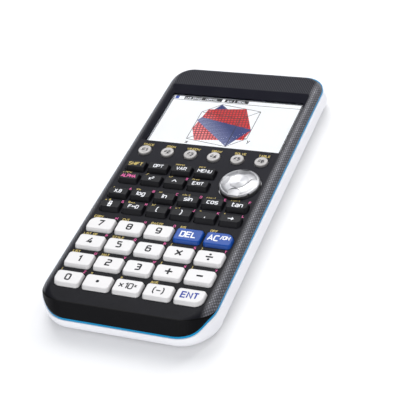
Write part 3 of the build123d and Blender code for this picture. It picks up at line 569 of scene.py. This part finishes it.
# Legend, gold legend above it on the face, and pink letter, for each key
DARK_KEYS = {
    "key_shift": ("SHIFT", "", ""), "key_option": ("OPT", "", ""),
    "key_variable": ("VAR", "PROG", ""), "key_menu": ("MENU", "SET", ""),
    "key_alpha": ("ALPHA", "LOCK", ""), "key_square": ("x|2", "√", "r"),
    "key_power": ("^", "|x|√", "θ"), "key_exit": ("EXIT", "QUIT", ""),
    "key_x_theta": ("X,θ", "∠", "A"), "key_log": ("log", "10|x", "B"), "key_ln": ("ln", "e|x", "C"),
    "key_sin": ("sin", "sin|-1", "D"), "key_cos": ("cos", "cos|-1", "E"), "key_tan": ("tan", "tan|-1", "F"),
    "key_fraction": ("½", "a ½", "G"), "key_convert": ("F↔D", "½↔a", "H"),
    "key_paren_open": ("(", "|3|√", "I"), "key_paren_close": (")", "x|-1", "J"),
    "key_comma": (",", "=", "K"), "key_arrow": ("→", "°", "L"),
}
NUMBER_KEYS = {
    "key_7": ("7", "COPY", "M"), "key_8": ("8", "CUT", "N"), "key_9": ("9", "PASTE", "O"),
    "key_del": ("DEL", "INS", ""), "key_ac": ("AC|/ON", "OFF", ""),
    "key_4": ("4", "LIST OF", "P"), "key_5": ("5", "STYLE", "Q"), "key_6": ("6", "", "R"),
    "key_multiply": ("×", "(", "S"), "key_divide": ("÷", ")", "T"),
    "key_1": ("1", "LIST", "U"), "key_2": ("2", "MAT", "V"), "key_3": ("3", "", "W"),
    "key_plus": ("+", "(", "X"), "key_minus": ("-", ")", "Y"),
    "key_0": ("0", "i", "Z"), "key_point": ("•", "=", ""), "key_exponent": ("×10|x", "π", ""),
    "key_negate": ("(-)", "ANS", ""), "key_enter": ("ENT", "", ""),
}
FUNCTION_NAMES = ("TRACE", "ZOOM", "WINDOW", "DRAW", "SOLVE", "TABLE")


def middle(node):
    low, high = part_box(node)
    return (low[0] + high[0]) / 2 / MM, (low[1] + high[1]) / 2 / MM, high[2] / MM


def legend_style(node, legend):
    """Height and stroke weight of a key's own legend."""
    if node in DARK_KEYS:
        if legend in ("log", "ln", "sin", "cos", "tan"):
            return 2.55, 1.05
        return (2.0, 1.15) if len(legend) > 2 else (2.7, 1.0)
    if node == "key_point":
        return 5.6, 1.3
    if legend in ("+", "-", "×", "÷"):
        return 4.7, 1.15
    if node in ("key_negate", "key_exponent"):
        return 3.1, 1.1
    return (3.35, 1.4) if len(legend) == 1 else (3.15, 1.3)


def dress_keys():
    black = surface("key_black", (0.005, 0.005, 0.007), 0.42, mottle=0.2, bump=0.000008, specular=0.1)
    white = surface("key_white", (0.63, 0.62, 0.62), 0.38, mottle=0.012, bump=0.000006)
    blue = surface("key_blue", (0.003, 0.058, 0.31), 0.36, mottle=0.08, bump=0.000006, specular=0.2)
    inks = {
        "white": surface("ink_white", (0.78, 0.79, 0.82), 0.6, mottle=0.03),
        "dark": surface("ink_dark", (0.010, 0.010, 0.014), 0.6, mottle=0.1, specular=0.2),
        "blue": surface("ink_blue", (0.02, 0.045, 0.30), 0.6, mottle=0.05, specular=0.2),
        "gold": surface("ink_gold", (0.52, 0.40, 0.10), 0.6, mottle=0.05),
        "pink": surface("ink_pink", (0.72, 0.09, 0.32), 0.6, mottle=0.05),
    }
    gold, pink = Drawing(), Drawing()
    for node, (legend, above, letter) in {**DARK_KEYS, **NUMBER_KEYS}.items():
        x, y, top = middle(node)
        small = node in DARK_KEYS
        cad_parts[node].data.materials[0] = black if small else blue if node in BLUE else white
        ink = "white" if small or node in BLUE else "dark"
        ink = {"key_shift": "gold", "key_alpha": "pink", "key_enter": "blue"}.get(node, ink)
        drawing = Drawing()
        height, weight = legend_style(node, legend)
        lift, widest = (0.35, 7.7) if small else (0.3, 10.4)
        write(drawing, legend, x, y + lift, height, top, weight=weight, widest=widest)
        slot = "key_black" if small else "key_blue" if node in BLUE else "key_white"
        drawing.finish("legend_" + node, inks[ink], node, slot)
        left, right, rise = (5.2, 4.9, 4.75) if small else (6.4, 6.0, 6.05)
        if above:
            write(gold, above, x - left, y + rise, 1.35, FACE_Z, align=0, weight=1.25)
        if letter:
            write(pink, letter, x + right, y + rise, 1.35, FACE_Z, align=1, weight=1.25)
    silver = surface("function_silver", (0.32, 0.31, 0.305), 0.5, mottle=0.15, bump=0.00001, metallic=0.5)
    for index, node in enumerate(SILVER):
        x, y, top = middle(node)
        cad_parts[node].data.materials[0] = silver
        drawing = Drawing()
        write(drawing, "F" + str(index + 1), x, y, 2.0, top - 0.12, weight=1.3, root=0.25)
        drawing.finish("legend_" + node, inks["dark"], node, "key_silver")
        write(gold, FUNCTION_NAMES[index], x, y + 5.0, 1.35, FACE_Z, weight=1.2)
    gold.finish("legends_gold", inks["gold"], ROOT, "case_charcoal")
    pink.finish("legends_pink", inks["pink"], ROOT, "case_charcoal")
    x, y, top = middle("cursor_pad")
    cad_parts["cursor_pad"].data.materials[0] = turned_silver("pad_silver", (x, y))


# ---------------------------------------------------------------- the screen

SCREEN_X, SCREEN_LOW_Y, SCREEN_HIGH_Y = 36.5, 28.6, 68.2
SCREEN_Y = (SCREEN_LOW_Y + SCREEN_HIGH_Y) / 2
LINE_Z = SCREEN_Z + 0.002


def panel(x0, x1, y0, y1):
    """A rectangle of the screen, with its height taken from the screen's middle."""
    return [(x0, y0 + SCREEN_Y), (x1, y0 + SCREEN_Y), (x1, y1 + SCREEN_Y), (x0, y1 + SCREEN_Y)]


def add_screen():
    half_y = (SCREEN_HIGH_Y - SCREEN_LOW_Y) / 2
    lit = Drawing()
    lit.prism(panel(-SCREEN_X, SCREEN_X, -half_y, half_y), SCREEN_Z - 0.005, SCREEN_Z)
    lit.finish("screen_lit", glow("screen_white", (0.97, 0.98, 0.99), 1.0), ROOT, "lcd_frame")
    dark = Drawing()
    # A thin dark line round the edge of the lit area. It is partly a dark edge of the screen and partly
    # painted shade from the recess wall.
    edge_and_shade_line = panel(-SCREEN_X + 0.25, SCREEN_X - 0.25, -half_y + 0.25, half_y - 0.25)
    dark.ribbon(edge_and_shade_line, 0.35, LINE_Z, LINE_Z + 0.01, closed=True)
    dark.ribbon([(-SCREEN_X, SCREEN_Y + 16.4), (SCREEN_X, SCREEN_Y + 16.4)], 0.3, LINE_Z, LINE_Z + 0.008)
    pills = ((-30.3, -25.3), (-25.0, -20.6), (-20.3, -8.4), (-6.7, -1.4), (-1.1, 6.8))
    words = ("LINE", "RAD", "NORMAL", "a+i", "REAL")
    for left, right in pills:
        dark.prism(panel(left, right, 17.0, 19.4), LINE_Z, LINE_Z + 0.009)
    add_wire_box(dark)
    dark.finish("screen_lines", glow("screen_black", (0.02, 0.02, 0.025), 0.3), ROOT, "lcd_frame")
    bright = Drawing()
    for (left, right), word in zip(pills, words):
        write(bright, word, (left + right) / 2, SCREEN_Y + 18.2, 1.25, LINE_Z + 0.011 + INK, weight=1.15)
    bright.finish("screen_words", glow("screen_word_white", (0.90, 0.92, 0.95), 0.9), ROOT, "lcd_frame")
    badge = Drawing()
    badge.prism(panel(-35.6, -33.5, 17.0, 19.4), LINE_Z, LINE_Z + 0.009)
    badge.finish("screen_badge", glow("screen_badge_blue", (0.03, 0.08, 0.40), 1.0), ROOT, "lcd_frame")


BOX_ACROSS, BOX_DEEP, BOX_TALL = (11.5, -1.65), (4.5, 3.75), (0.0, 11.2)
BOX_CENTRE = (0.0, -1.65)
BOX_NEAREST = (1, -1, 1)


def projected(x, y, z):
    """Where a point of the drawn cube, from -1 to 1 each way, falls on the screen."""
    across = x * BOX_ACROSS[0] + y * BOX_DEEP[0] + z * BOX_TALL[0]
    up = x * BOX_ACROSS[1] + y * BOX_DEEP[1] + z * BOX_TALL[1]
    return across + BOX_CENTRE[0], up + BOX_CENTRE[1] + SCREEN_Y


def add_wire_box(drawing):
    """The cube's twelve edges, with the three that meet at its nearest corner over the planes."""
    for a in (-1, 1):
        for b in (-1, 1):
            for start, end in (((-1, a, b), (1, a, b)), ((a, -1, b), (a, 1, b)), ((a, b, -1), (a, b, 1))):
                over = BOX_NEAREST in (start, end)
                low = LINE_Z + (0.045 if over else 0.0)
                drawing.ribbon([projected(*start), projected(*end)], 0.34, low, low + 0.004)
    for letter, u, v in (("x", -14.9, -17.3), ("y", 17.6, -12.6)):
        write(drawing, letter, u, v + SCREEN_Y, 2.4, LINE_Z + INK, weight=1.1)


def clipped(corners, normal, limit):
    """The part of a flat polygon that lies where its distance along normal is at most limit."""
    kept = []
    for index, corner in enumerate(corners):
        after = corners[(index + 1) % len(corners)]
        here, there = normal.dot(corner) - limit, normal.dot(after) - limit
        if here <= 0:
            kept.append(corner)
        if (here <= 0) != (there <= 0):
            kept.append(corner + (after - corner) * (here / (here - there)))
    return kept


def in_cube(corners):
    for axis in range(3):
        for side in (-1, 1):
            corners = clipped(corners, Vector([side * (axis == index) for index in range(3)]), 1)
    return corners


VIEW_WAY = Vector((0.39, -1.0, 0.39))
PLANES = {
    "red": (Vector((1.2, -1.15, 0.62)).normalized(), -0.113, 24, 24, 0.66, 0.66),
    "blue": (Vector((0.68, -0.32, 1.0)).normalized(), 0.0, 12, 60, 0.94, 0.55),
}


SMALLEST_PATCH = 0.002


def plane_cells(name):
    """The patches of a plane inside the cube. Each is a polygon and the smaller fill inside it."""
    up, offset, rows, columns, row_share, column_share = PLANES[name]
    across = up.cross(Vector((0, 0, 1))).normalized()
    deep = up.cross(across)
    reach = 1.8
    wide, tall = 2 * reach / columns, 2 * reach / rows
    for row in range(rows):
        for column in range(columns):
            x, y = (column + 0.5) * wide - reach, (row + 0.5) * tall - reach
            centre = up * offset + across * x + deep * y
            for share_x, share_y, fill in ((1, 1, False), (column_share, row_share, True)):
                half, rise = across * wide * share_x / 2, deep * tall * share_y / 2
                ends = (centre - half, centre + half)
                corners = in_cube([ends[0] - rise, ends[1] - rise, ends[1] + rise, ends[0] + rise])
                if len(corners) > 2:
                    yield corners, fill


def add_graph():
    """Two planes that cross inside the wire box. The part of the red plane behind the blue one
    lies lowest, then the whole blue plane, then the rest of the red one."""
    blue_up, blue_offset = PLANES["blue"][:2]
    near = 1 if blue_up.dot(VIEW_WAY) > 0 else -1
    drawings = {(name, fill): Drawing() for name in PLANES for fill in (False, True)}
    for name in PLANES:
        for corners, fill in plane_cells(name):
            layers = {1: corners}
            if name == "red":
                layers = {0: clipped(corners, blue_up * near, blue_offset * near),
                          2: clipped(corners, blue_up * -near, blue_offset * -near)}
            for layer, part in layers.items():
                flat = [projected(*corner) for corner in part]
                before = flat[-1:] + flat[:-1]
                area = sum(a[0] * b[1] - b[0] * a[1] for a, b in zip(before, flat))
                if abs(area) < SMALLEST_PATCH:
                    continue
                z = LINE_Z + 0.012 + 0.011 * layer + (0.005 if fill else 0.0)
                drawings[name, fill].prism(flat if area > 0 else flat[::-1], z, z + 0.003)
    colours = {
        ("red", True): ((0.85, 0.01, 0.01), (0.95, 0.22, 0.22)),
        ("red", False): ((0.20, 0.005, 0.01), (0.24, 0.05, 0.06)),
        ("blue", True): ((0.010, 0.022, 0.14), (0.030, 0.040, 0.17)),
        ("blue", False): ((0.015, 0.035, 0.20), (0.45, 0.48, 0.68)),
    }
    for (name, fill), drawing in drawings.items():
        kind = "cells" if fill else "grid"
        title = f"graph_{name}_{kind}"
        colour, pale = colours[name, fill]
        drawing.finish(title, glow(title, colour, 1.0, 0.2, pale), ROOT, "lcd_frame")


# ---------------------------------------------------------------- the rest of the CAD nodes

def dress_case():
    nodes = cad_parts
    finishes = {
        "front_case": case_charcoal(),
        "trim_band": surface(
            "trim_blue", (0.0, 0.23, 0.46), 0.35, mottle=0.05, bump=0.000004, specular=0.15),
        "rear_case": surface("case_white", (0.76, 0.76, 0.79), 0.36, mottle=0.015, bump=0.000008),
        "battery_cover": surface("cover_white", (0.75, 0.75, 0.78), 0.38, mottle=0.02, bump=0.00001),
        "display_window": window_clear(),
        "lcd_module": surface("lcd_frame", (0.35, 0.36, 0.38), 0.4, metallic=0.9),
        "main_board": board_green(),
        "keypad_membrane": surface("silicone_grey", (0.40, 0.41, 0.43), 0.6),
        "cursor_rocker": surface("rocker_grey", (0.22, 0.22, 0.24), 0.5),
        "batteries": surface("cell_sleeve", (0.16, 0.18, 0.22), 0.35, metallic=0.6),
        "battery_contacts": surface("contact_nickel", (0.55, 0.54, 0.52), 0.3, metallic=1.0),
        "case_screws": surface("screw_black", (0.10, 0.10, 0.11), 0.35, metallic=1.0, mottle=0.2),
        "rear_feet": surface("foot_rubber", (0.13, 0.13, 0.14), 0.8, mottle=0.15, bump=0.00003),
    }
    for node, material in finishes.items():
        nodes[node].data.materials[0] = material


add_camera()
add_studio()
dress_case()
dress_keys()
add_screen()
add_graph()
